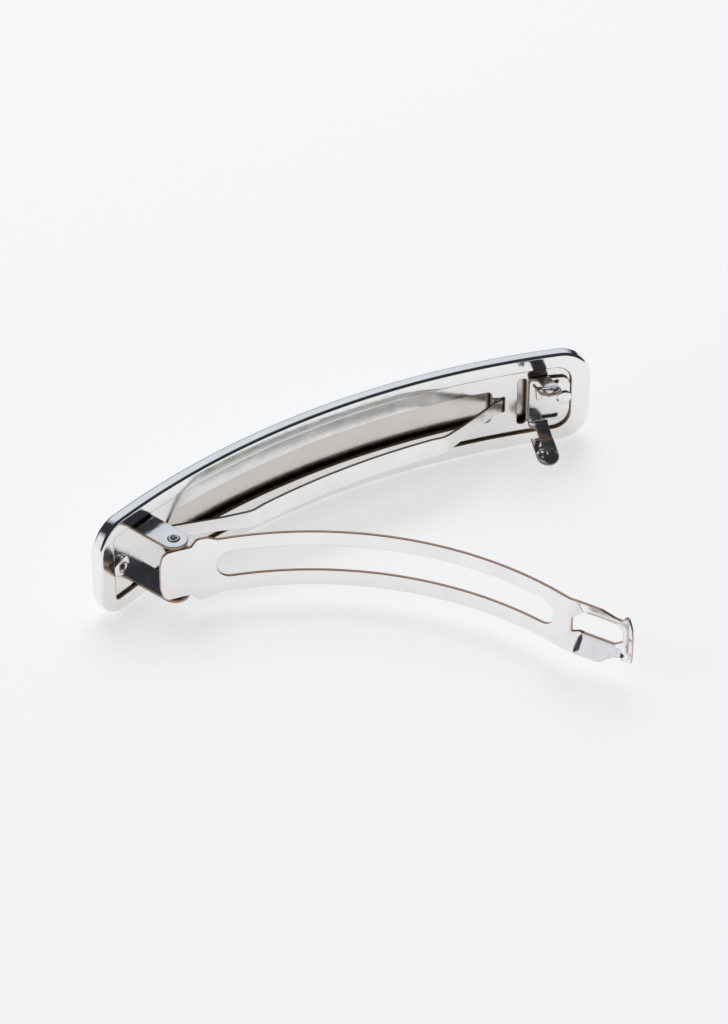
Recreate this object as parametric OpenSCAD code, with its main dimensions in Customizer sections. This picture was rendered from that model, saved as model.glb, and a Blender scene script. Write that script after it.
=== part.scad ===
// Automatic-clasp hair barrette, standing on the long lower edge of its
// cover with the clasp arm swung open.
// X runs along the clip from the hinge end to the catch end, Y points to
// the decorative side of the cover, Z is the width of the clip.
// Heights are measured from the edge that the clip stands on. The cover,
// base and bow spring are bent to circles about one vertical axis, and
// places along them are arc lengths from the middle, at the hem's radius.

/* [Cover] */
// Radius of the bend, measured at the front face of the hem
hem_r = 113.5; // [100:0.5:140]
// Length of the cover along the bend
cover_len = 86.2; // [86.2:0.2:92]
// Width of the cover
cover_w = 16.2; // [16.2:0.1:18]
// Depth of the rolled rim, front to back
rim_depth = 2.3; // [2.3:0.1:2.8]
// Sheet thickness of the cover
cover_t = 0.5; // [0.4:0.05:0.55]
// Width of the hem turned in over the base
hem_w = 2.55; // [2:0.05:2.8]
// Radius of the cover's corners
cover_corner = 5; // [3:0.5:6]

/* [Base] */
// Sheet thickness of the base
base_t = 0.65; // [0.5:0.05:0.7]
// Length of the long slot
slot_len = 55.2; // [50:0.2:55.4]
// Width of the long slot
slot_w = 5.2; // [4:0.1:5.6]

/* [Hinge] */
// Place of the hinge axis along the bend
pivot_s = 33.9; // [33.5:0.1:34.2]
// Height of the hinge axis in front of the hem
pivot_lift = 5.9; // [5.4:0.1:6.4]
// Radius of the holes in the two ears
ear_hole_r = 0.85; // [0.7:0.05:0.95]
// Running clearance of the trunnions in the ears
hinge_play = 0.05; // [0.03:0.01:0.08]

/* [Clasp arm] */
// Radius of the arm's own bend
arm_r = 50.65; // [50:0.05:51.5]
// Sheet thickness of the arm
arm_t = 0.5; // [0.4:0.05:0.6]
// Width of the arm along its slot
arm_w = 9.5; // [9:0.1:9.8]
// Width of the slot in the arm
arm_slot_w = 4.3; // [3.5:0.1:4.8]
// Turn of the arm about the hinge as it lies open
arm_turn = 10.2; // [0:0.1:30]

/* [Bow spring] */
// Height of the bow in front of the hem
bow_lift = 6; // [5:0.1:6.4]
// Width of the bow
bow_w = 3.4; // [2.6:0.1:4]

/* [Catch] */
// Lean of the finger levers away from each other
lever_lean = 17; // [14:0.5:19]
// Length of the finger levers
lever_len = 8.3; // [7.6:0.1:8.8]

/* [Hidden] */
$fn = 64;
e = 0.01;

mid_r = hem_r + rim_depth / 2;      // radius that passes through the origin
zc = cover_w / 2;                   // mid height
half_cover = cover_len / 2;
cover_x = mid_r * sin(turn(half_cover));
half_base = half_cover - 1.9;       // the base ends under the hem
base_half_w = zc - 1.8;
base_r0 = hem_r + cover_t + 0.05;   // front face of the base
base_r1 = base_r0 + base_t;
ear_t = 0.5;
ear_in = 4.6;                       // inner face of each ear, from mid height
ear_r = 2.05;
pivot_r = hem_r - pivot_lift;
pin_r = ear_hole_r - hinge_play;
arm_c = arm_r + 1.65;               // hinge axis to the centre of the arm's bend
crease_a = 67.1;                    // crease between the strip and its head, from the hinge
mid_a = 32;                         // direction the arm's outline is drawn from
head_bend = 14.6;                   // the head is turned out by this much
catch_s = 34.9;                     // middle of the finger levers
lever_z = 3.9;                      // root of each lever, from mid height
lever_t = 0.45;
lever_w = 3.4;

function turn(s) = s / hem_r * 180 / PI;

// Local frame on the bend: +X along it, +Y outwards
module at(s, r, z = 0)
    translate([0, -mid_r, 0]) rotate([0, 0, -turn(s)]) translate([0, r, z]) children();

// Strip of sheet that follows the bend
module band(r0, r1, s0, s1, z0, z1)
    translate([0, -mid_r, 0]) rotate([0, 0, 90 - turn(s1)])
        rotate_extrude(angle = turn(s1) - turn(s0))
            translate([r0, z0]) square([r1 - r0, z1 - z0]);

// Domed rivet head and shank, standing on a face at y = 0 and facing -Y
module rivet(head_r, head_h, shank_r, shank_l)
    rotate([90, 0, 0]) rotate_extrude()
        polygon(concat([[0, -shank_l], [shank_r, -shank_l], [shank_r, 0]],
            [for (k = [0:6]) [head_r * cos(k * 15), head_h * (0.25 * (k > 0 ? 1 : 0) + 0.75 * sin(k * 15))]]));

// Rounded rectangle: ca is the corners' radius on the left, cb on the right
function arc(x, z, r, a0) = [for (k = [0:5]) [x + r * cos(a0 + 18 * k), z + r * sin(a0 + 18 * k)]];
function rounded(x0, x1, hz, ca, cb) = concat(arc(x1 - cb, hz - cb, cb, 0), arc(x0 + ca, hz - ca, ca, 90),
    arc(x0 + ca, ca - hz, ca, 180), arc(x1 - cb, cb - hz, cb, 270));

// Sheet bent round the vertical axis from angle a0 to a1 and cut to an outline,
// which is drawn on a plane that faces angle am
module sheet(r, t, a0, a1, am, hw)
    rotate([0, 0, -am]) intersection() {
        rotate([0, 0, 90 - a1 + am]) rotate_extrude(angle = a1 - a0) translate([r, -hw]) square([t, 2 * hw]);
        translate([0, r + t + 1, 0]) rotate([90, 0, 0])
            linear_extrude(r * (1 - cos(max(a1 - am, am - a0))) + t + 2) children();
    }

// Slab with rounded corners that follows the bend
module slab(r, t, hx, hz, ca, cb)
    sheet(r, t, -26, 26, 0, 20) polygon(rounded(-hx, hx, hz, ca, cb));

module cover_shell()
    color("gainsboro") translate([0, -mid_r, zc]) difference() {
        slab(hem_r, rim_depth, cover_x, zc, cover_corner, cover_corner);
        slab(hem_r + cover_t, rim_depth - 2 * cover_t, cover_x - cover_t, zc - cover_t, cover_corner - cover_t, cover_corner - cover_t);
        slab(hem_r - 1, 1 + cover_t + e, cover_x - 3, zc - hem_w, 1.2, 2.8);
    }

module ear(side)
    difference() {
        translate([0, 0, side > 0 ? ear_in : -ear_in - ear_t]) union() {
            at(-pivot_s, pivot_r) cylinder(r = ear_r, h = ear_t);
            at(-pivot_s, pivot_r) translate([-ear_r, 0, 0]) cube([2 * ear_r, base_r0 + 0.3 - pivot_r, ear_t]);
        }
        at(-pivot_s, pivot_r, -6) cylinder(r = ear_hole_r, h = 12);
    }

function bx(s) = (base_r0 + base_t / 2) * sin(turn(s));

module clip_base()
    color("silver") translate([0, 0, zc]) union() {
        difference() {
          translate([0, -mid_r, 0]) sheet(base_r0, base_t, -turn(half_base + 1), turn(half_base + 1), 0, base_half_w + 1)
            difference() {
                polygon(rounded(-bx(half_base), bx(half_base), base_half_w, 2.2, 3.2));
                // long slot that shows the inside of the cover
                polygon(rounded(-bx(slot_len / 2), bx(slot_len / 2), slot_w / 2, 0.8, 0.8));
                // cross slot in front of the catch
                polygon(rounded(bx(31.9), bx(33.3), 4.1, 0.5, 0.5));
                // slits that hold the feet of the bow spring
                for (sx = [-1, 1]) translate([sx * bx(29.55) - 0.35, -1.35]) square([0.7, 2.7]);
                // relief beside the ears
                for (sz = [-1, 1])
                    translate([-bx(pivot_s + ear_r + 0.4), sz > 0 ? ear_in + ear_t : -base_half_w - 1])
                        square([2 * ear_r + 0.8, base_half_w + 1 - ear_in - ear_t]);
            }
          // rivet holes
          at(-38.5, base_r0 - 1, -0.3) rotate([-90, 0, 0]) cylinder(r = 0.78, h = 3);
          at(39, base_r0 - 1, 0) rotate([-90, 0, 0]) cylinder(r = 0.63, h = 3);
        }
        ear(1);
        ear(-1);
    }

// Spring strip bowed in front of the base, with its feet through two slits
module bow_tail(sx)
    translate([0, 0, -1.2]) linear_extrude(2.4) polygon([
        for (p = [[17.4, -bow_lift], [28.6, 0.02], [29.78, 0.02], [29.78, cover_t + 0.05 + base_t],
                  [29.33, cover_t + 0.05 + base_t], [29.33, 0.5], [28.6, 0.5], [17.4, 0.45 - bow_lift]])
            [sx * (hem_r + p[1]) * sin(turn(p[0])), (hem_r + p[1]) * cos(turn(p[0])) - mid_r]]);

module bow_spring()
    color("lightgray") translate([0, 0, zc]) union() {
        band(hem_r - bow_lift, hem_r - bow_lift + 0.45, -17.6, 17.6, -bow_w / 2, bow_w / 2);
        bow_tail(1);
        bow_tail(-1);
    }

module hinge_rivet()
    color("whitesmoke") at(-38.5, base_r0 - 0.02, zc - 0.3)
        rivet(1.5, 0.7, 0.75, rim_depth - 2 * cover_t - 0.05 + 0.01);

module catch_rivet()
    color("whitesmoke") at(39, base_r0 - lever_t - 0.02, zc)
        rivet(1.15, 0.35, 0.6, lever_t + base_t + 0.3);

// Flat part of the catch spring, riveted to the base between the levers
module catch_spring()
    color("silver") translate([0, -mid_r, zc])
        sheet(base_r0 - lever_t, lever_t, turn(30), turn(42), turn(38), 5) difference() {
            polygon(concat(arc(0.75, 2.1, 1.2, 0), [[-1, 3.3], [-1, 3.85], [-4.8, 3.85], [-4.8, -3.85], [-1, -3.85],
                    [-1, -3.3]], arc(0.75, -2.1, 1.2, 270)));
            // relief slots that let the levers bend
            for (sz = [-1, 1]) translate([-2.6, sz * 2.9 - 0.3]) square([2.4, 0.6]);
            translate([base_r0 * sin(turn(39) - turn(38)), 0]) circle(r = 0.63);
        }

// Finger lever: x along the clip, y up from the root, sheet lies in z 0..lever_t
module lever_blank()
    union() {
        difference() {
            union() {
                translate([-lever_w / 2, 0.03, 0]) cube([lever_w, lever_len - lever_w / 2, lever_t]);
                translate([0, lever_len - lever_w / 2, 0]) cylinder(r = lever_w / 2, h = lever_t);
            }
            // neck beside the hook, and the bay under the hook
            translate([-lever_w / 2 - 1, 0.9, -1]) cube([1.9, 1.7, 3]);
            translate([-lever_w / 2 + 0.45, 2.5, -1]) cube([0.8, 1.6, 3]);
            translate([-lever_w / 2 + 0.85, 4.1, -1]) cylinder(r = 0.4, h = 3);
        }
        // finger dish, pressed towards the inside
        translate([0, lever_len - lever_w / 2, e]) intersection() {
            translate([0, 0, 1.1]) sphere(r = 1.75);
            translate([0, 0, -1.2]) cylinder(r = 1.3, h = 1.2);
        }
        // hook tab turned towards the arm
        translate([-lever_w / 2, 4.25, -1.75]) cube([1.0, 0.45, 1.76]);
    }

module lever(side)
    at(catch_s, base_r0 - 0.2, zc + side * lever_z)
        rotate([180 - side * lever_lean, 0, 0]) mirror([0, 0, side > 0 ? 1 : 0]) lever_blank();

module catch_lever_upper() color("silver") lever(1);
module catch_lever_lower() color("silver") lever(-1);

// Frame of the clasp arm: origin on the hinge axis, +Y away from the bend's centre
module arm_frame()
    translate([-pivot_r * sin(turn(pivot_s)), pivot_r * cos(turn(pivot_s)) - mid_r, zc])
        rotate([0, 0, -arm_turn]) children();

function ax(a) = arm_r * sin(a - mid_a);
slot_hw = arm_slot_w / 2;

// Frame of the arm's head: origin on the crease, +X towards the end
module head_frame()
    translate([0, -arm_c, 0]) rotate([0, 0, -crease_a]) translate([0, arm_r, 0])
        rotate([0, 0, head_bend]) children();

// Cross-section of the head: a tray, open to the hair side
tray = [[-0.25, -4.75], [1.35, -2], [1.35, 2], [-0.25, 4.75], [0.3, 4.75], [1.85, 2.15], [1.85, -2.15], [0.3, -4.75]];

module arm_head() {
    // side strips turning from flat to tray
    for (sz = [-1, 1]) hull() {
        translate([-0.4, -0.1, sz > 0 ? 1.3 : -4.7]) cube([0.1, 0.25, 3.4]);
        translate([2, 0, 0]) rotate([90, 0, 90]) linear_extrude(0.1)
            polygon([[-0.14, sz * 4.68], [1.38, sz * 2.08], [1.78, sz * 2.2], [0.28, sz * 4.68]]);
    }
    // tray with its window
    intersection() {
        translate([1.8, 0, 0]) rotate([90, 0, 90]) linear_extrude(6.6) polygon(tray);
        translate([0, 5, 0]) rotate([90, 0, 0]) linear_extrude(10) difference() {
            polygon([[0, -4.75], [4.6, -4.75], [6, -4.3], [7.6, -3.5], [8.3, -2.5], [8.4, -2.2], [8.4, 2.2],
                     [8.3, 2.5], [7.6, 3.5], [6, 4.3], [4.6, 4.75], [0, 4.75]]);
            polygon([[0.6, -1.3], [1.9, -2], [6.6, -2], [7.7, -1], [7.7, 1], [6.6, 2], [1.9, 2], [0.6, 1.3]]);
        }
    }
    // finger lip, curling to the hair side
    intersection() {
        translate([0, 0, -4]) linear_extrude(8) polygon([[7.9, 1.45], [8.7, 1.2], [9.4, 0.5], [9.9, -0.3], [10.9, -1.1],
                 [11.15, -0.7], [10.3, 0.05], [9.85, 0.8], [9.1, 1.6], [7.9, 1.75]]);
        translate([0, 5, 0]) rotate([90, 0, 0]) linear_extrude(10)
            polygon([[7.5, -2], [9, -2.3], [9.3, -3.2], [10.6, -3.2], [11.2, -2.5], [11.2, 2.5], [10.6, 3.2], [9.3, 3.2],
                     [9, 2.3], [7.5, 2]]);
    }
}

module clasp_arm()
    color("gainsboro") arm_frame() union() {
        translate([0, -arm_c, 0]) sheet(arm_r - arm_t / 2, arm_t, -6, crease_a, mid_a, 7) difference() {
            // tongue between the ears, shoulders wider than the ears, then the strip
            polygon([for (sz = [1, -1]) let (p = [[ax(-3.3), 1], [ax(-3.15), 2.6], [ax(-2.6), 3.8], [ax(-1.9), 4.25],
                         [ax(2.1), 4.25], [ax(2.5), 5.2], [ax(3), 5.5], [ax(4.8), 5.5], [ax(5.4), 5.2],
                         [ax(6.1), arm_w / 2], [ax(80), arm_w / 2]])
                     for (k = [0:10]) let (q = p[sz > 0 ? k : 10 - k]) [q[0], sz * q[1]]]);
            // slot with round ends
            translate([ax(6.7) + slot_hw, 0]) circle(r = slot_hw);
            translate([ax(64.2) - slot_hw, 0]) circle(r = slot_hw);
            translate([ax(6.7) + slot_hw, -slot_hw]) square([ax(64.2) - ax(6.7) - 2 * slot_hw, 2 * slot_hw]);
        }
        // flanges folded up beside the tongue, with the trunnions
        for (sz = [-1, 1]) {
            translate([0, 0, sz * 4.05 - 0.25]) cylinder(r = 1.7, h = 0.5);
            translate([-1.7, -1.65, sz * 4.05 - 0.25]) cube([3.4, 1.65, 0.5]);
            translate([0, 0, sz > 0 ? 4.2 : -ear_in - ear_t - 0.15]) cylinder(r = pin_r, h = ear_in + ear_t + 0.15 - 4.2);
        }
        head_frame() arm_head();
    }

cover_shell();
clip_base();
bow_spring();
hinge_rivet();
catch_rivet();
catch_spring();
catch_lever_upper();
catch_lever_lower();
clasp_arm();
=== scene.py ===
import bpy
import math
import numpy as np
from mathutils import Matrix, Vector
from mathutils.geometry import delaunay_2d_cdt


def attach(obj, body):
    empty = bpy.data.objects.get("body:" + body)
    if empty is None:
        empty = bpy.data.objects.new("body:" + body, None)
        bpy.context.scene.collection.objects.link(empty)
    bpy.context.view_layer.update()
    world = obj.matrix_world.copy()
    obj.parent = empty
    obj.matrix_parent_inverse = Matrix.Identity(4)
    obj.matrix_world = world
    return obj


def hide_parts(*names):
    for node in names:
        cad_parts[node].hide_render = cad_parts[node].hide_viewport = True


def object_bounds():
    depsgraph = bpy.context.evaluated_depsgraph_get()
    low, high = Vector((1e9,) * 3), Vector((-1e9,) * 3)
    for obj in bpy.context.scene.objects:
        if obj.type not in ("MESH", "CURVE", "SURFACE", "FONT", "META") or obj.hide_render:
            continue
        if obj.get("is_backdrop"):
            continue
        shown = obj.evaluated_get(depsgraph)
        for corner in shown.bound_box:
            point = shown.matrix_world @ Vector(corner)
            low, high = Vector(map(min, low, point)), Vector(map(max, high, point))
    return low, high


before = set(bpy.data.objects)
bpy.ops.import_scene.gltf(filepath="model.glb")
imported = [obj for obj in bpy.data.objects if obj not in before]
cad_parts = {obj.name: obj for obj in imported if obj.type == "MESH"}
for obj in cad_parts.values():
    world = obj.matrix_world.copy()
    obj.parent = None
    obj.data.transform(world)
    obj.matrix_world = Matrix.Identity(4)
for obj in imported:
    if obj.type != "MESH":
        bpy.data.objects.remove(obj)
cad_lo, cad_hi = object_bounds()

# ---------------------------------------------------------------- layout, in mm
HEM_R = 113.5            # bend of the cover at the face of its hem
CY = -114.65             # the bend's axis
ZC = 8.1                 # mid height
BASE_W = 0.55            # depth of the base's front face behind the hem
PIV_S, PIV_R = -33.9, 107.6
ARM_R = 50.65
ARM_C = ARM_R + 1.65
ARM_TURN = math.radians(10.2)
CREASE = math.radians(67.1)
BEND = math.radians(14.6)
U0 = ARM_R * CREASE      # arc length from the hinge to the crease


def stack(x, y, z):
    return np.stack([x + 0 * z, y + 0 * z, z + 0 * x], 1)


def bend(u, v, w):
    """Along the cover (arc length at the hem), up from mid height, and back from the hem's face."""
    a = u / HEM_R
    r = HEM_R + w
    return stack(r * np.sin(a), r * np.cos(a) + CY, v + ZC)


def at(s, w=0.0, z=0.0):
    return bend(np.array([float(s)]), np.array([float(z)]), np.array([float(w)]))[0]


# ---------------------------------------------------------------- outlines
def fillet(points, n=6):
    """Rounded polygon from (x, y, radius) corners, counter-clockwise."""
    out = []
    m = len(points)
    for i in range(m):
        x, y, r = points[i]
        p = np.array([x, y]); a = np.array(points[i - 1][:2]); b = np.array(points[(i + 1) % m][:2])
        if r <= 0:
            out.append(p); continue
        d1 = (a - p) / np.linalg.norm(a - p); d2 = (b - p) / np.linalg.norm(b - p)
        c = np.clip(d1 @ d2, -0.9999, 0.9999)
        half = math.acos(c) / 2
        t = min(r / math.tan(half), 0.49 * np.linalg.norm(a - p), 0.49 * np.linalg.norm(b - p))
        r = t * math.tan(half)
        s = p + (d1 + d2) / np.linalg.norm(d1 + d2) * (r / math.sin(half))
        v1 = p + d1 * t - s; v2 = p + d2 * t - s
        a1 = math.atan2(v1[1], v1[0]); da = (math.atan2(v2[1], v2[0]) - a1 + math.pi) % (2 * math.pi) - math.pi
        k = max(2, int(round(n * abs(da) / (math.pi / 2))) + 1)
        for j in range(k + 1):
            q = a1 + da * j / k
            out.append(s + r * np.array([math.cos(q), math.sin(q)]))
    return np.array(out)


def dense(loop, step):
    out = []
    for i in range(len(loop)):
        a, b = loop[i], loop[(i + 1) % len(loop)]
        k = max(1, int(math.ceil(np.linalg.norm(b - a) / step)))
        for j in range(k):
            out.append(a + (b - a) * j / k)
    return np.array(out)


def rect(x0, x1, y0, y1, r, r2=None):
    r2 = r if r2 is None else r2
    return [(x1, y0, r2), (x1, y1, r2), (x0, y1, r), (x0, y0, r)]


def sym(points):
    """Mirrors a half outline (y >= 0, from right to left) below the axis: closes it counter-clockwise."""
    low = [(x, -y, r) for x, y, r in reversed(points) if y > 1e-6]
    return points + low


def circle(x, y, r, n=28):
    t = np.linspace(0, 2 * math.pi, n, endpoint=False)
    return np.stack([x + r * np.cos(t), y + r * np.sin(t)], 1)


def miter(L):
    a = L - np.roll(L, 1, 0); b = np.roll(L, -1, 0) - L
    a /= np.linalg.norm(a, axis=1)[:, None] + 1e-12; b /= np.linalg.norm(b, axis=1)[:, None] + 1e-12
    n1 = np.stack([-a[:, 1], a[:, 0]], 1); n2 = np.stack([-b[:, 1], b[:, 0]], 1)
    m = n1 + n2
    k = np.maximum(1 + (n1 * n2).sum(1), 0.4)[:, None]
    nn = m / (np.linalg.norm(m, axis=1)[:, None] + 1e-12)
    return m / k, nn


def area(L):
    x, y = L[:, 0], L[:, 1]
    return 0.5 * float((x * np.roll(y, -1) - y * np.roll(x, -1)).sum())


def inside(P, loops):
    c = np.zeros(len(P), bool)
    for L in loops:
        x0, y0 = L[:, 0], L[:, 1]; x1, y1 = np.roll(x0, -1), np.roll(y0, -1)
        for i in range(len(L)):
            hit = (y0[i] > P[:, 1]) != (y1[i] > P[:, 1])
            if hit.any():
                xx = x0[i] + (P[:, 1] - y0[i]) * (x1[i] - x0[i]) / (y1[i] - y0[i] + 1e-15)
                c ^= hit & (P[:, 0] < xx)
    return c


def far(P, loops, d):
    ok = np.ones(len(P), bool)
    for L in loops:
        N = np.roll(L, -1, 0)
        for a, b in zip(L, N):
            ab = b - a
            t = np.clip(((P - a) @ ab) / (ab @ ab + 1e-15), 0, 1)
            ok &= np.linalg.norm(P - (a + t[:, None] * ab), axis=1) > d
    return ok


class Part:
    """Collects vertices, faces and exact normals, in mm."""

    def __init__(self):
        self.v, self.f, self.n, self.e, self.count = [], [], [], [], 0

    def add(self, V, F, N, E=None):
        self.v.append(V); self.n.append(N)
        self.e.append(np.zeros(len(V)) if E is None else np.asarray(E, float))
        self.f += [tuple(i + self.count for i in f) for f in F]
        self.count += len(V)

    def build(self, name, mat, body, node):
        V = np.concatenate(self.v); N = np.concatenate(self.n)
        N = N / (np.linalg.norm(N, axis=1)[:, None] + 1e-12)
        me = bpy.data.meshes.new(name)
        me.from_pydata([tuple(p) for p in V * 1e-3], [], self.f)
        me.validate(clean_customdata=False)
        me.update()
        for p in me.polygons:
            p.use_smooth = True
        if len(me.vertices) == len(N):
            me.normals_split_custom_set_from_vertices([tuple(n) for n in N])
        # per-vertex brown edge tint, which also carries painted shade on the cover's inner face
        edge_tint_and_shade = me.attributes.new("edge_tint_and_shade", "FLOAT", "POINT")
        E = np.concatenate(self.e)
        if len(me.vertices) == len(E):
            edge_tint_and_shade.data.foreach_set("value", E.astype(np.float32))
        ob = bpy.data.objects.new(name, me)
        bpy.context.scene.collection.objects.link(ob)
        me.materials.append(mat)
        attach(ob, body)
        if node:
            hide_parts(node)
        return ob


def mapped(mapf, U, n):
    """Positions and normals of local points U (u, v, w) with local normals n."""
    h = 0.02
    P = mapf(U[:, 0], U[:, 1], U[:, 2])
    e = np.eye(3) * h
    T = [(mapf(*(U + e[i]).T) - mapf(*(U - e[i]).T)) / (2 * h) for i in range(3)]
    N = n[:, :1] * np.cross(T[1], T[2]) + n[:, 1:2] * np.cross(T[2], T[0]) + n[:, 2:] * np.cross(T[0], T[1])
    det = np.einsum("ij,ij->i", T[0], np.cross(T[1], T[2]))
    s = np.sign(np.median(det))
    return P, N * s, s


def sheet(part, outer, holes, w0, w1, mapf, bevel=0.12, step=1.2, seg=3, cuts=()):
    """Sheet metal: an outline with holes, rounded edges, mapped on its formed shape."""
    loops = []
    o = outer if area(outer) > 0 else outer[::-1]
    loops.append(o)
    for h in holes:
        loops.append(h if area(h) < 0 else h[::-1])
    ms = [miter(L) for L in loops]
    prof = []
    for k in range(seg + 1):
        a = math.pi / 2 * k / seg
        prof.append((bevel * (1 - math.sin(a)), w1 - bevel * (1 - math.cos(a)), math.sin(a), math.cos(a)))
    for k in range(seg, -1, -1):
        a = math.pi / 2 * k / seg
        prof.append((bevel * (1 - math.sin(a)), w0 + bevel * (1 - math.cos(a)), math.sin(a), -math.cos(a)))
    inner = [L + m * bevel for L, (m, nn) in zip(loops, ms)]
    pts, edges = [], []
    for L in inner:
        b = len(pts)
        pts += [Vector((float(x), float(y))) for x, y in L]
        edges += [(b + i, b + (i + 1) % len(L)) for i in range(len(L))]
    nb = len(pts)
    lo, hi = o.min(0), o.max(0)
    gx = np.unique(np.concatenate([np.arange(lo[0] + step * 0.5, hi[0], step), np.array(cuts, float)]))
    gy = np.arange(lo[1] + step * 0.45, hi[1], step)
    G = np.stack(np.meshgrid(gx, gy), -1).reshape(-1, 2)
    G = G[inside(G, inner)]
    if len(G):
        G = G[far(G, inner, step * 0.3)]
    pts += [Vector((float(x), float(y))) for x, y in G]
    vo, _, fo, ov, _, _ = delaunay_2d_cdt(pts, edges, [], 1, 1e-6)
    q = np.array([[p.x, p.y] for p in vo])
    tri = [f for f in fo]
    cen = np.array([q[list(f)].mean(0) for f in tri])
    keep = inside(cen, inner)
    tri = [f for f, k in zip(tri, keep) if k]
    where = {}
    for i, ids in enumerate(ov):
        for j in ids:
            where[j] = i
    K = len(prof)
    nq = len(q)
    U = [np.column_stack([q, np.full(nq, w1)])]
    Nn = [np.tile([0, 0, 1.0], (nq, 1))]
    base = {0: [where[i] for i in range(nb)]}
    cnt = nq
    for k in range(1, K - 1):
        ins, w, sa, ca = prof[k]
        P, M = [], []
        for L, (m, nn) in zip(loops, ms):
            P.append(np.column_stack([L + m * ins, np.full(len(L), w)]))
            M.append(np.column_stack([-nn * sa, np.full(len(L), ca)]))
        P = np.concatenate(P); M = np.concatenate(M)
        U.append(P); Nn.append(M)
        base[k] = list(range(cnt, cnt + nb)); cnt += nb
    U.append(np.column_stack([q, np.full(nq, w0)])); Nn.append(np.tile([0, 0, -1.0], (nq, 1)))
    base[K - 1] = [cnt + where[i] for i in range(nb)]
    bot = cnt
    cnt += nq
    F = [tuple(f) for f in tri] + [tuple(bot + i for i in reversed(f)) for f in tri]
    b = 0
    for L in inner:
        n = len(L)
        for k in range(K - 1):
            for i in range(n):
                j = (i + 1) % n
                F.append((base[k][b + i], base[k + 1][b + i], base[k + 1][b + j], base[k][b + j]))
        b += n
    # the rounded edge rings get the material's brown edge tint
    edge_tint_and_shade = np.zeros(cnt)
    for k in range(1, K - 1):
        edge_tint_and_shade[base[k]] = 1.0
    P, N, s = mapped(mapf, np.concatenate(U), np.concatenate(Nn))
    if s < 0:
        F = [tuple(reversed(f)) for f in F]
    part.add(P, F, N, edge_tint_and_shade)


def loft(part, rings, mapf, edge_tint_and_shade, mirror=26):
    """Rings of equal length in (u, v, w); normals follow from the rings themselves."""
    R = [np.array(r, float) for r in rings]
    n = len(R[0])
    P = [mapf(*r.T) for r in R]
    V = np.concatenate(P)
    F = []
    for k in range(len(P) - 1):
        for i in range(n):
            j = (i + 1) % n
            F.append((k * n + i, (k + 1) * n + i, (k + 1) * n + j, k * n + j))
    A = np.zeros_like(V)
    for f in F:
        if len(f) > 4:
            continue
        a, b, c, d = V[list(f)]
        nn = np.cross(c - a, d - b)
        for i in f:
            A[i] += nn
    # the ends are closed by quads between points that mirror each other in z
    m = (len(P) - 1) * n
    for i in range(mirror // 2, mirror // 2 + n // 2):
        q = [i % n, (i + 1) % n, (mirror - i - 1) % n, (mirror - i) % n]
        q = [k for j, k in enumerate(q) if k not in q[:j]]
        F.append(tuple(q)); F.append(tuple(m + k for k in reversed(q)))
    part.add(V, F, A, np.repeat(edge_tint_and_shade, n))


def revolve(part, profile, origin, axis, xdir, n=40):
    """Surface of revolution from (radius, height) points; smooth normals by profile."""
    ax = Vector(axis).normalized(); x = Vector(xdir); x = (x - ax * x.dot(ax)).normalized(); y = ax.cross(x)
    prof = np.array(profile, float)
    t = np.linspace(0, 2 * math.pi, n, endpoint=False)
    V, N, F = [], [], []
    d = np.gradient(prof, axis=0)
    for (r, h), (dr, dh) in zip(prof, d):
        for a in t:
            rad = x * math.cos(a) + y * math.sin(a)
            V.append(Vector(origin) + rad * max(r, 1e-4) + ax * h)
            N.append(rad * dh - ax * dr)
    m = len(prof)
    for k in range(m - 1):
        for i in range(n):
            j = (i + 1) % n
            F.append((k * n + i, k * n + j, (k + 1) * n + j, (k + 1) * n + i))
    F.append(tuple(reversed(range(n)))); F.append(tuple((m - 1) * n + i for i in range(n)))
    V = np.array([tuple(p) for p in V]); N = np.array([tuple(p) for p in N])
    part.add(V, F, N)


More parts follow.
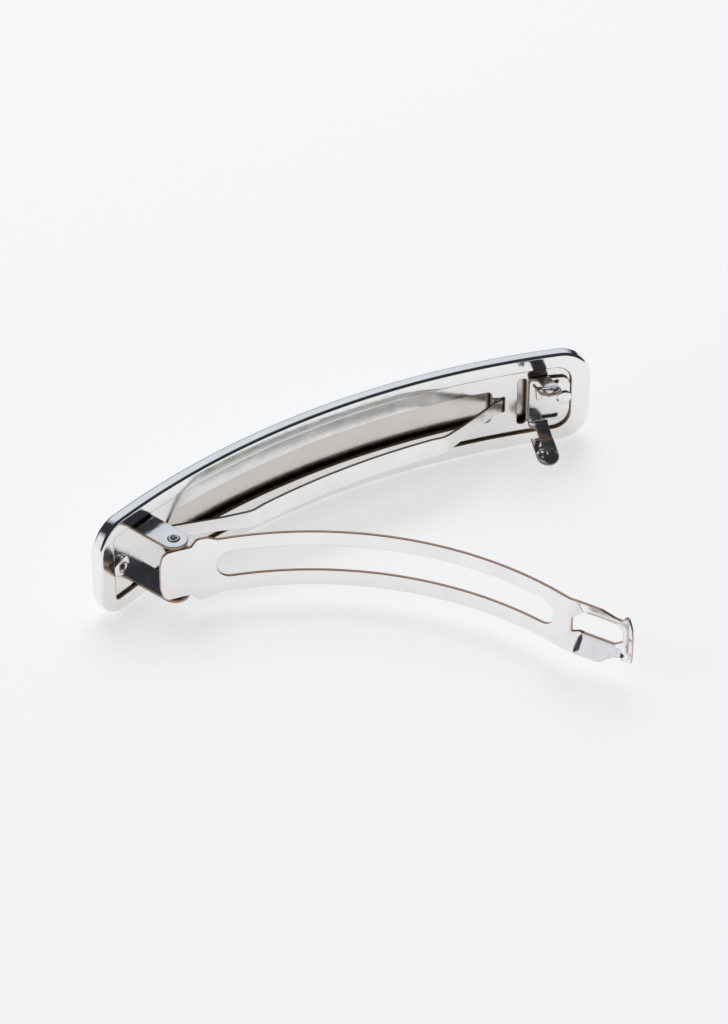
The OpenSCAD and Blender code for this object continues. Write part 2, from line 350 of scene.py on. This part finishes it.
# ---------------------------------------------------------------- materials
def metal(name, color, tint, rough=(0.06, 0.16), scratch=0.25, scale=1.0, spots=0.0, edge=(0.42, 0.33, 0.26)):
    m = bpy.data.materials.new(name)
    m.use_nodes = True
    nt = m.node_tree; N = nt.nodes; L = nt.links
    b = N["Principled BSDF"]
    b.inputs["Metallic"].default_value = 1.0
    tc = N.new("ShaderNodeTexCoord")
    mp = N.new("ShaderNodeMapping"); mp.inputs["Scale"].default_value = (1000 * scale, 1000 * scale, 1000 * scale)
    L.new(tc.outputs["Object"], mp.inputs["Vector"])
    # broad tarnish and plating variation
    n1 = N.new("ShaderNodeTexNoise"); n1.inputs["Scale"].default_value = 0.16; n1.inputs["Detail"].default_value = 3
    L.new(mp.outputs[0], n1.inputs["Vector"])
    r1 = N.new("ShaderNodeValToRGB")
    r1.color_ramp.elements[0].position = 0.35; r1.color_ramp.elements[0].color = (*tint, 1)
    r1.color_ramp.elements[1].position = 0.6; r1.color_ramp.elements[1].color = (*color, 1)
    L.new(n1.outputs["Fac"], r1.inputs["Fac"])
    # fine wear: smudges in the polish
    n2 = N.new("ShaderNodeTexNoise"); n2.inputs["Scale"].default_value = 0.9; n2.inputs["Detail"].default_value = 6
    L.new(mp.outputs[0], n2.inputs["Vector"])
    mr = N.new("ShaderNodeMapRange"); mr.inputs["From Min"].default_value = 0.3; mr.inputs["From Max"].default_value = 0.7
    mr.inputs["To Min"].default_value = rough[0]; mr.inputs["To Max"].default_value = rough[1]
    L.new(n2.outputs["Fac"], mr.inputs["Value"])
    # small dark specks where the plating is thin
    n3 = N.new("ShaderNodeTexNoise"); n3.inputs["Scale"].default_value = 2.6; n3.inputs["Detail"].default_value = 4
    L.new(mp.outputs[0], n3.inputs["Vector"])
    r3 = N.new("ShaderNodeMapRange"); r3.inputs["From Min"].default_value = 0.68; r3.inputs["From Max"].default_value = 0.76
    r3.inputs["To Min"].default_value = 0.0; r3.inputs["To Max"].default_value = 0.25 + spots
    L.new(n3.outputs["Fac"], r3.inputs["Value"])
    mix = N.new("ShaderNodeMix"); mix.data_type = "RGBA"
    mix.inputs["B"].default_value = (color[0] * 0.55, color[1] * 0.5, color[2] * 0.45, 1)
    L.new(r3.outputs[0], mix.inputs["Factor"]); L.new(r1.outputs[0], mix.inputs["A"])
    # cut edges are browner and less bright than the faces; the cover's inner face behind the base gets the same brown
    # at 0.3 strength, which is painted shade in that recess
    at_ = N.new("ShaderNodeAttribute"); at_.attribute_name = "edge_tint_and_shade"
    ed = N.new("ShaderNodeMix"); ed.data_type = "RGBA"
    ed.inputs["B"].default_value = (*edge, 1)
    L.new(at_.outputs["Fac"], ed.inputs["Factor"]); L.new(mix.outputs["Result"], ed.inputs["A"])
    L.new(ed.outputs["Result"], b.inputs["Base Color"])
    dull = N.new("ShaderNodeMath"); dull.operation = "MULTIPLY_ADD"; dull.inputs[1].default_value = 0.36
    L.new(at_.outputs["Fac"], dull.inputs[0]); L.new(mr.outputs[0], dull.inputs[2]); L.new(dull.outputs[0], b.inputs["Roughness"])
    # rolling marks, long in X
    ms = N.new("ShaderNodeMapping"); ms.inputs["Scale"].default_value = (60, 900, 2600)
    L.new(tc.outputs["Object"], ms.inputs["Vector"])
    n4 = N.new("ShaderNodeTexNoise"); n4.inputs["Scale"].default_value = 2.0; n4.inputs["Detail"].default_value = 4
    L.new(ms.outputs[0], n4.inputs["Vector"])
    n5 = N.new("ShaderNodeTexNoise"); n5.inputs["Scale"].default_value = 0.45; n5.inputs["Detail"].default_value = 2
    L.new(mp.outputs[0], n5.inputs["Vector"])
    add = N.new("ShaderNodeMath"); add.operation = "MULTIPLY_ADD"; add.inputs[1].default_value = 0.12
    L.new(n4.outputs["Fac"], add.inputs[0]); L.new(n5.outputs["Fac"], add.inputs[2])
    bp = N.new("ShaderNodeBump"); bp.inputs["Strength"].default_value = scratch; bp.inputs["Distance"].default_value = 0.00006
    L.new(add.outputs[0], bp.inputs["Height"]); L.new(bp.outputs[0], b.inputs["Normal"])
    return m


M_COVER = metal("plated_cover", (0.93, 0.925, 0.915), (0.9, 0.89, 0.87), (0.08, 0.17), 0.25, edge=(0.36, 0.27, 0.17))
M_BASE = metal("plated_base", (0.9, 0.895, 0.885), (0.86, 0.85, 0.83), (0.1, 0.2), 0.3)
M_BOW = metal("spring_steel", (0.9, 0.9, 0.89), (0.86, 0.86, 0.85), (0.12, 0.22), 0.3)
M_ARM = metal("plated_arm", (0.92, 0.91, 0.905), (0.89, 0.875, 0.865), (0.1, 0.2), 0.3, edge=(0.72, 0.53, 0.43))
M_CATCH = metal("catch_spring_steel", (0.87, 0.87, 0.87), (0.82, 0.815, 0.81), (0.06, 0.14), 0.3)
M_RIVET = metal("rivet_metal", (0.9, 0.89, 0.88), (0.84, 0.83, 0.81), (0.08, 0.18), 0.35, 1.0, 0.1)
ROOT = "cover_and_base"


# ---------------------------------------------------------------- cover
def round_loop(xl, xr, hz, rl, rr, nc=9, nl=84, ns=8):
    """Rounded rectangle, counter-clockwise from the lower right, always with the same point count."""
    out = []
    corners = [(xr - rr, -hz + rr, rr, -90), (xr - rr, hz - rr, rr, 0), (xl + rl, hz - rl, rl, 90), (xl + rl, -hz + rl, rl, 180)]
    for i, (cx, cz, r, a0) in enumerate(corners):
        for k in range(nc + 1):
            a = math.radians(a0 + 90 * k / nc)
            out.append((cx + r * math.cos(a), cz + r * math.sin(a)))
        nx, nz, nr, na = corners[(i + 1) % 4]
        p = np.array(out[-1]); q = np.array([nx + nr * math.cos(math.radians(na)), nz + nr * math.sin(math.radians(na))])
        n = ns if i % 2 == 0 else nl
        for k in range(1, n):
            out.append(tuple(p + (q - p) * k / n))
    return np.array(out)


def cover():
    p = Part()
    L, H, R = 43.1, 8.1, 4.9

    def ring(d, w, inner=0.0):
        """d is the inset from the outline; inner blends the window's own corners in."""
        de = d if d < 0.8 else 0.8 + (d - 0.8) * (2.35 / 1.75) if d < 2.56 else d + 0.6
        rl = max(R - d - inner * 1.6, 0.35); rr = max(R - d + inner * 0.2, 0.35)
        lo = round_loop(-L + de, L - de, H - d, rl, rr)
        return np.column_stack([lo, np.full(len(lo), w)])

    rings = []
    c = lambda d0, w0, r, a0, a1, n: [(d0 + r * math.cos(math.radians(a0 + (a1 - a0) * k / n)), w0 + r * math.sin(math.radians(a0 + (a1 - a0) * k / n))) for k in range(n + 1)]
    prof = [(7.6, 2.3), (5.5, 2.3), (3.4, 2.3), (1.8, 2.3)]
    prof += c(1.0, 1.3, 1.0, 90, 180, 8)                       # back rounding: (1.0,2.3) -> (0,1.3)
    prof += [(0.0, 1.0)]
    prof += c(0.5, 0.5, 0.5, 180, 270, 9)                      # front rounding: (0,0.5) -> (0.5,0)
    prof += [(1.3, -0.0), (1.9, 0.02), (2.3, 0.06)]
    prof += c(2.33, 0.28, 0.22, -90, 90, 6)                    # rounded edge of the hem
    prof += [(1.6, 0.5), (0.9, 0.5)]
    prof += c(0.9, 0.9, 0.4, 270, 180, 4)
    prof += c(1.1, 1.2, 0.6, 180, 90, 4)
    prof += [(2.2, 1.8), (4.0, 1.8), (6.0, 1.8), (7.6, 1.8)]
    for d, w in prof:
        inner = min(max((d - 0.8) / 1.5, 0), 1) if w < 0.6 else 0.0
        rings.append(ring(min(d, 7.6), w, inner))
    # full brown tint on the hem's rounded edge; 0.3 of it on the cover's inner face behind the base, painted shade in
    # the recess
    edge_tint_and_shade = [1.0 if w < 0.51 and d > 2.2 and w > 0.08 else 0.3 if w >= 1.75 and k > 20 else 0.0 for k, (d, w) in enumerate(prof)]
    loft(p, rings, bend, edge_tint_and_shade)
    return p.build("cover_plate", M_COVER, ROOT, "cover_shell")


# ---------------------------------------------------------------- base with its ears
def base():
    p = Part()
    hl, hw = 40.9, 6.4
    outer = fillet([(hl, -hw, 3), (hl, hw, 3), (-31.4, hw, 0.3), (-31.4, 5.15, 0.4), (-36.4, 5.15, 0.4), (-36.4, hw, 0.3), (-hl, hw, 2), (-hl, -hw, 2),
                    (-36.4, -hw, 0.3), (-36.4, -5.15, 0.4), (-31.4, -5.15, 0.4), (-31.4, -hw, 0.3)])
    holes = [dense(fillet(rect(-27.6, 27.8, -2.75, 2.75, 0.7, 0.8)), 2.0),
             fillet(rect(31.9, 33.3, -4.1, 4.1, 0.55)),
             fillet(rect(29.2, 29.9, -1.35, 1.35, 0.2)),
             fillet(rect(-29.9, -29.2, -1.35, 1.35, 0.2))]
    sheet(p, dense(outer, 1.6), holes, BASE_W, BASE_W + 0.65, bend, bevel=0.13, step=1.3)

    # ears: folded up from the base, with the hinge holes
    a = PIV_S / HEM_R
    piv = np.array([PIV_R * math.sin(a), PIV_R * math.cos(a) + CY])
    t = np.array([math.cos(a), -math.sin(a)]); n = np.array([math.sin(a), math.cos(a)])
    for sg in (1, -1):
        def ear_map(u, v, w, sg=sg):
            # the ear stays flat: the flare term for its foot is multiplied by zero
            q = np.clip((v - 5.3) / 1.2, 0, 1)
            z = ZC + sg * (4.85 + w * sg + 0.0 * q)
            return stack(piv[0] + u * t[0] + v * n[0], piv[1] + u * t[1] + v * n[1], z)
        th = np.radians(np.linspace(180, 360, 19))
        cap = [(2.05 * math.cos(q), 2.05 * math.sin(q), 0) for q in th]
        out = [(2.05, 6.75, 0.2), (-2.05, 6.75, 0.2)] + [(x, y, 0) for x, y, _ in cap]
        sheet(p, dense(fillet(out), 0.9), [circle(0, 0, 0.86)], -0.25, 0.25, ear_map, bevel=0.1, step=0.9)
    return p.build("base_strip", M_BASE, ROOT, "clip_base")


# ---------------------------------------------------------------- bow spring
def path_map(points, radius=3.0, step=0.35):
    """Arc-length map along a filleted polyline in the XY plane: w to the left of travel."""
    pts = [np.array(q, float) for q in points]
    open_ = [tuple(pts[0]) + (0,)] + [tuple(q) + (radius,) for q in pts[1:-1]] + [tuple(pts[-1]) + (0,)]
    out = [pts[0]]
    for i in range(1, len(pts) - 1):
        p, a, b = pts[i], pts[i - 1], pts[i + 1]
        d1 = (a - p) / np.linalg.norm(a - p); d2 = (b - p) / np.linalg.norm(b - p)
        c = np.clip(d1 @ d2, -0.999999, 0.999999)
        half = math.acos(c) / 2
        if math.degrees(half) > 89.2:
            out.append(p); continue
        tt = min(radius / math.tan(half), 0.45 * np.linalg.norm(a - p), 0.45 * np.linalg.norm(b - p))
        for k in range(9):
            s = k / 8
            out.append((1 - s) ** 2 * (p + d1 * tt) + 2 * s * (1 - s) * p + s * s * (p + d2 * tt))
    out.append(pts[-1])
    Q = np.array(out)
    S = np.concatenate([[0], np.cumsum(np.linalg.norm(np.diff(Q, axis=0), axis=1))])
    total = S[-1]
    g = np.arange(-2, total + 2, 0.25)

    def pos(s):
        x = np.interp(s, S, Q[:, 0]); y = np.interp(s, S, Q[:, 1])
        e0 = (Q[1] - Q[0]) / np.linalg.norm(Q[1] - Q[0]); e1 = (Q[-1] - Q[-2]) / np.linalg.norm(Q[-1] - Q[-2])
        lo = np.minimum(s, 0); hi = np.maximum(s - total, 0)
        return np.stack([x + lo * e0[0] + hi * e1[0], y + lo * e0[1] + hi * e1[1]], 1)

    def f(u, v, w):
        k = 0.3
        c = (pos(u - k) + pos(u) + pos(u + k)) / 3
        d = pos(u + k) - pos(u - k)
        d /= np.linalg.norm(d, axis=1)[:, None]
        nrm = np.stack([-d[:, 1], d[:, 0]], 1)
        return stack(c[:, 0] + nrm[:, 0] * w, c[:, 1] + nrm[:, 1] * w, v + ZC)
    return f, total, pos


def bow():
    p = Part()
    def q(s, w):
        return at(s, w)[:2]
    pts = [q(-29.55, 1.15), q(-29.55, 0.3), q(-28.6, 0.26), q(-17.6, -5.78)]
    pts += [q(s, -5.78) for s in np.arange(-15, 16, 2.5)]
    pts += [q(17.6, -5.78), q(28.6, 0.26), q(29.55, 0.3), q(29.55, 1.15)]
    f, total, pos = path_map(pts, 2.2)
    grid = np.linspace(0, total, 400)
    X = pos(grid)[:, 0]
    ua = float(np.interp(at(-17.6, -5.8)[0], X, grid)); ub = float(np.interp(at(17.6, -5.8)[0], X, grid))
    out = [(total, 1.1, 0.15), (ub + 4.5, 1.2, 3), (ub - 2.2, 1.66, 4), (ua + 2.2, 1.66, 4), (ua - 4.5, 1.2, 3), (0, 1.1, 0.15)]
    sheet(p, dense(fillet(sym(out)), 1.0), [], -0.21, 0.21, f, bevel=0.1, step=0.8)
    return p.build("bow_strip", M_BOW, ROOT, "bow_spring")


# ---------------------------------------------------------------- rivets
def rivets():
    p = Part()
    a = -38.5 / HEM_R
    o = at(-38.5, BASE_W, -0.3)
    out = (-math.sin(a), -math.cos(a), 0)
    prof = [(0.1, -0.5), (0.72, -0.5), (0.74, -0.02), (1.5, 0.0), (1.62, 0.08), (1.66, 0.22), (1.62, 0.36), (1.5, 0.48), (1.3, 0.58), (1.05, 0.66), (0.82, 0.7),
            (0.7, 0.68), (0.6, 0.6), (0.48, 0.55), (0.28, 0.54), (0.08, 0.54)]
    revolve(p, prof, tuple(o), out, (0, 0, 1))
    p.build("hinge_rivet_head", M_RIVET, ROOT, "hinge_rivet")
    p = Part()
    a = 39.0 / HEM_R
    o = at(39.0, BASE_W - 0.45, 0)
    out = (-math.sin(a), -math.cos(a), 0)
    prof = [(0.1, -0.9), (0.58, -0.9), (0.6, -0.02), (1.05, 0.0), (1.13, 0.05), (1.15, 0.12), (1.1, 0.2), (0.95, 0.27), (0.75, 0.31), (0.5, 0.34), (0.25, 0.35), (0.06, 0.35)]
    revolve(p, prof, tuple(o), out, (0, 0, 1))
    p.build("catch_rivet_head", M_RIVET, ROOT, "catch_rivet")


# ---------------------------------------------------------------- catch spring and finger levers
LEVER_S = 34.9
LEAN = math.radians(17)


def catch():
    p = Part()
    half = [(39.95, 2.3, 1.0), (39.6, 3.3, 1.0), (38.9, 3.75, 0.6), (36.7, 3.9, 0.3), (33.6, 3.85, 0.5), (33.55, 2.9, 0.5)]
    outer = fillet(sym(half))
    holes = [dense(fillet(rect(35.5, 38.1, 2.75, 3.45, 0.34)), 0.5), dense(fillet(rect(35.5, 38.1, -3.45, -2.75, 0.34)), 0.5)]

    def plate(u, v, w):
        # the plate is not lifted: lift is zero
        lift = 0.0
        return bend(u, v, w + lift)
    sheet(p, dense(outer, 0.8), holes, BASE_W - 0.45, BASE_W - 0.01, plate, bevel=0.12, step=0.8)
    p.build("catch_plate", M_CATCH, ROOT, "catch_spring")

    a = LEVER_S / HEM_R
    t = np.array([math.cos(a), -math.sin(a), 0.0]); n = np.array([math.sin(a), math.cos(a), 0.0])
    for sg, nm in ((1, "upper"), (-1, "lower")):
        root = at(LEVER_S, BASE_W - 0.2, sg * 3.9)
        up = -n * math.cos(LEAN) + np.array([0, 0, sg * math.sin(LEAN)])
        nz = n * math.sin(LEAN) + np.array([0, 0, sg * math.cos(LEAN)])

        def lever_map(u, v, w):
            rho = np.hypot(u, v - 6.6) / 1.3
            dish = -0.62 * np.clip(1 - rho ** 2, 0, 1) ** 1.2
            # the root curls into the plate
            curl = np.clip((0.9 - v) / 0.9, 0, 1) ** 2 * 0.32
            ww = w + dish
            inward = -curl
            x = root[0] + u * t[0] + v * up[0] + (ww + inward) * nz[0]
            y = root[1] + u * t[1] + v * up[1] + (ww + inward) * nz[1]
            z = root[2] + u * t[2] + v * up[2] + (ww + inward) * nz[2]
            return stack(x, y, z)
        th = np.radians(np.linspace(0, 180, 17))
        cap = [(1.7 * math.cos(q), 6.6 + 1.7 * math.sin(q), 0) for q in th]
        out = [(1.7, 0.04, 0.1), (1.62, 1.4, 0.8), (1.62, 3.2, 0.8), (1.7, 4.6, 0.8)] + cap + \
              [(-1.7, 3.05, 0.2), (-1.32, 3.05, 0.2), (-1.32, 4.75, 0.42), (-0.42, 4.75, 0.42), (-0.42, 1.4, 0.4), (-1.35, 0.7, 0.4), (-1.35, 0.04, 0.1)]
        p = Part()
        sheet(p, dense(fillet(out), 0.45), [], 0.0, 0.45, lever_map, bevel=0.13, step=0.34)

        # hook tab folded towards the arm
        def tab_map(u, v, w):
            # u along the clip, v inwards from the lever, w along the lever
            return stack(root[0] + u * t[0] - v * nz[0] + (4.48 + w) * up[0], root[1] + u * t[1] - v * nz[1] + (4.48 + w) * up[1], root[2] + u * t[2] - v * nz[2] + (4.48 + w) * up[2])
        sheet(p, dense(fillet([(-0.75, -0.3, 0.1), (-0.75, 1.65, 0.3), (-1.65, 1.65, 0.3), (-1.65, -0.3, 0.1)]), 0.5), [], -0.2, 0.2, tab_map, bevel=0.1, step=0.5)
        p.build("finger_lever_" + nm, M_CATCH, "lever_" + nm, "catch_lever_" + nm)


# ---------------------------------------------------------------- clasp arm
_a = PIV_S / HEM_R
PIV = np.array([PIV_R * math.sin(_a), PIV_R * math.cos(_a) + CY])


def arm_raw(u, w):
    """Centre line of the arm in its own frame: the hinge axis is the origin."""
    al = np.minimum(u, U0) / ARM_R
    r = ARM_R
    x = r * np.sin(al); y = r * np.cos(al) - ARM_C
    e = np.maximum(u - U0, 0)
    d = -CREASE + BEND
    x = x + e * math.cos(d); y = y + e * math.sin(d)
    return np.stack([x, y], 1)


def smooth(x):
    x = np.clip(x, 0, 1)
    return x * x * (3 - 2 * x)


def arm_map(u, v, w):
    k = 0.22
    along = u - U0
    # the lip shortens as it curls
    curl = np.clip(along - 8.5, 0, 3)
    us = u - 0.18 * curl ** 1.5 / 1.5
    c = (arm_raw(us - k, 0) + arm_raw(us, 0) + arm_raw(us + k, 0)) / 3
    d = arm_raw(us + k, 0) - arm_raw(us - k, 0)
    d /= np.linalg.norm(d, axis=1)[:, None]
    n = np.stack([-d[:, 1], d[:, 0]], 1)
    av = np.abs(v)
    tray = 1.6 * np.clip((4.75 - av) / 2.75, 0, 1)
    tray = np.where(av < 2.35, 1.6 - 0.2 * smooth((av - 1.6) / 0.75), tray)
    ramp = smooth(along / 1.7)
    fade = 1 - smooth((along - 8.0) / 1.4)
    lip = 1.15 * smooth((along - 8.0) / 0.9) - 0.62 * np.clip(along - 8.8, 0, 9) ** 1.25
    off = ramp * (tray * fade) + np.where(along > 8.0, lip, 0)
    q = c + n * (w + off)[:, None]
    cs, sn = math.cos(-ARM_TURN), math.sin(-ARM_TURN)
    x = PIV[0] + cs * q[:, 0] - sn * q[:, 1]
    y = PIV[1] + sn * q[:, 0] + cs * q[:, 1]
    return stack(x, y, v + ZC)


def arm():
    p = Part()
    g = lambda deg: ARM_R * math.radians(deg)
    half = [(U0 + 10.9, 1.6, 0.8), (U0 + 10.5, 2.9, 0.8), (U0 + 9.3, 3.7, 0.5), (U0 + 8.35, 3.9, 0.3), (U0 + 8.2, 3.25, 0.35), (U0 + 6.9, 3.55, 0.8), (U0 + 5.1, 4.75, 1.2),
            (g(6.6), 4.78, 2.2), (g(4.9), 5.45, 1.6), (g(3.2), 5.45, 1.0), (g(2.25), 4.28, 0.5), (g(-1.9), 4.28, 0.5), (g(-2.75), 3.7, 0.8), (g(-3.25), 2.0, 2.0)]
    outer = dense(fillet(sym(half), 8), 0.9)
    slot = dense(fillet(rect(g(6.4), g(64.25), -2.15, 2.35, 2.2), 9), 1.2)
    win = dense(fillet([(U0 + 0.55, -1.25, 0.3), (U0 + 1.9, -1.85, 0.4), (U0 + 6.7, -1.85, 0.4), (U0 + 8.0, -0.95, 0.3),
                        (U0 + 8.0, 0.95, 0.3), (U0 + 6.7, 1.85, 0.4), (U0 + 1.9, 1.85, 0.4), (U0 + 0.55, 1.25, 0.3)]), 0.6)
    sheet(p, outer, [slot, win], -0.25, 0.25, arm_map, bevel=0.12, step=0.85)

    # flanges folded up beside the tongue, and the trunnions
    cs, sn = math.cos(-ARM_TURN), math.sin(-ARM_TURN)
    for sg in (1, -1):
        def fl_map(u, v, w, sg=sg):
            # the foot of the flange turns in to the tongue
            turn_in = 0.35 * np.clip((-0.9 - v) / 0.75, 0, 1) ** 2
            return stack(PIV[0] + cs * u - sn * v, PIV[1] + sn * u + cs * v, ZC + sg * (4.05 - turn_in) + w)
        th = np.radians(np.linspace(0, 180, 15))
        out = [(1.72, -1.6, 0.1)] + [(1.72 * math.cos(q), 1.72 * math.sin(q), 0) for q in th] + [(-1.72, -1.6, 0.1)]
        sheet(p, dense(fillet(out), 0.6), [], -0.22, 0.22, fl_map, bevel=0.1, step=0.6)
        prof = [(0.1, -0.2), (0.78, -0.2), (0.79, 0.95), (0.76, 1.02), (0.68, 1.06), (0.56, 1.05), (0.48, 0.97), (0.44, 0.8), (0.42, 0.55), (0.05, 0.5)]
        revolve(p, prof, (PIV[0], PIV[1], ZC + sg * 4.2), (0, 0, sg), (1, 0, 0), 32)
    return p.build("clasp_arm_strip", M_ARM, "arm", "clasp_arm")


cover()
base()
bow()
rivets()
catch()
arm()

# ---------------------------------------------------------------- floor, light, camera
fm = bpy.data.materials.new("pale_floor"); fm.use_nodes = True
fb = fm.node_tree.nodes["Principled BSDF"]
fn = fm.node_tree.nodes.new("ShaderNodeTexNoise"); fn.inputs["Scale"].default_value = 3.0
fr = fm.node_tree.nodes.new("ShaderNodeMapRange"); fr.inputs["To Min"].default_value = 0.5; fr.inputs["To Max"].default_value = 0.6
fm.node_tree.links.new(fn.outputs["Fac"], fr.inputs["Value"]); fm.node_tree.links.new(fr.outputs[0], fb.inputs["Roughness"])
fb.inputs["Base Color"].default_value = (0.5, 0.5, 0.51, 1)
fb.inputs["Emission Color"].default_value = (0.985, 0.985, 0.99, 1)
fb.inputs["Emission Strength"].default_value = 0.62
fb.inputs["Specular IOR Level"].default_value = 0.25
fme = bpy.data.meshes.new("floor")
fme.from_pydata([(-4, -4, 0), (4, -4, 0), (4, 4, 0), (-4, 4, 0)], [], [(0, 1, 2, 3)])
floor = bpy.data.objects.new("floor", fme); bpy.context.scene.collection.objects.link(floor)
fme.materials.append(fm)
floor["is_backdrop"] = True

BACK = Vector((-0.4195, -0.6670, 0.6157)); RIGHT = Vector((0.8465, -0.5324, 0.0)); UP = Vector((0.3278, 0.5212, 0.7880))

world = bpy.data.worlds.new("studio"); bpy.context.scene.world = world
world.use_nodes = True
wt = world.node_tree; WN = wt.nodes; WL = wt.links
bg = WN["Background"]
tc = WN.new("ShaderNodeTexCoord")
dot = WN.new("ShaderNodeVectorMath"); dot.operation = "DOT_PRODUCT"
dot.inputs[1].default_value = tuple(Vector((0.42, 0.667, 0.616)).normalized())
WL.new(tc.outputs["Generated"], dot.inputs[0])
ramp = WN.new("ShaderNodeValToRGB")
ramp.color_ramp.elements[0].position = 0.84; ramp.color_ramp.elements[0].color = (0.03, 0.032, 0.038, 1)
ramp.color_ramp.elements[1].position = 0.95; ramp.color_ramp.elements[1].color = (0.7, 0.74, 0.8, 1)
WL.new(dot.outputs["Value"], ramp.inputs["Fac"])
dot2 = WN.new("ShaderNodeVectorMath"); dot2.operation = "DOT_PRODUCT"
dot2.inputs[1].default_value = tuple(Vector((-0.93, 0.28, 0.22)).normalized())
WL.new(tc.outputs["Generated"], dot2.inputs[0])
left = WN.new("ShaderNodeValToRGB")
left.color_ramp.elements[0].position = 0.8; left.color_ramp.elements[0].color = (0, 0, 0, 1)
left.color_ramp.elements[1].position = 0.93; left.color_ramp.elements[1].color = (0.82, 0.83, 0.86, 1)
WL.new(dot2.outputs["Value"], left.inputs["Fac"])
both = WN.new("ShaderNodeMix"); both.data_type = "RGBA"; both.blend_type = "ADD"; both.inputs["Factor"].default_value = 1.0
WL.new(ramp.outputs[0], both.inputs["A"]); WL.new(left.outputs[0], both.inputs["B"])
WL.new(both.outputs["Result"], bg.inputs["Color"])
bg.inputs["Strength"].default_value = 1.0


def area_light(name, loc, target, size, power, color=(1, 1, 1)):
    d = bpy.data.lights.new(name, "AREA"); d.shape = "RECTANGLE"; d.size = size[0]; d.size_y = size[1]
    d.energy = power; d.color = color
    o = bpy.data.objects.new(name, d); bpy.context.scene.collection.objects.link(o)
    o.location = loc
    o.rotation_euler = (Vector(target) - Vector(loc)).to_track_quat("-Z", "Y").to_euler()
    o.visible_glossy = False
    o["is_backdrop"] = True
    return o


area_light("soft_top", (0.15, 0.35, 0.9), (0, 0, 0), (0.8, 0.8), 4.5)
area_light("soft_left", (-0.8, 0.1, 0.5), (0, 0, 0), (0.5, 0.5), 1.0)

cam = bpy.data.cameras.new("camera")
cam.sensor_fit = "HORIZONTAL"; cam.sensor_width = 36.0
cam.lens = 4035.0 * 36.0 / 728.0
cam.clip_start = 0.01; cam.clip_end = 20
co = bpy.data.objects.new("camera", cam); bpy.context.scene.collection.objects.link(co)
loc = (Vector((-247.34, -405.38, 368.0))) * 1e-3
rot = Matrix((RIGHT, UP, BACK)).transposed().to_4x4()
co.matrix_world = Matrix.Translation(loc) @ rot
bpy.context.scene.camera = co
bpy.context.scene.view_settings.view_transform = "Standard"

vis_lo, vis_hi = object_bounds()
({"cad": [[float(c) for c in cad_lo], [float(c) for c in cad_hi]],
           "visual": [[float(c) for c in vis_lo], [float(c) for c in vis_hi]]})
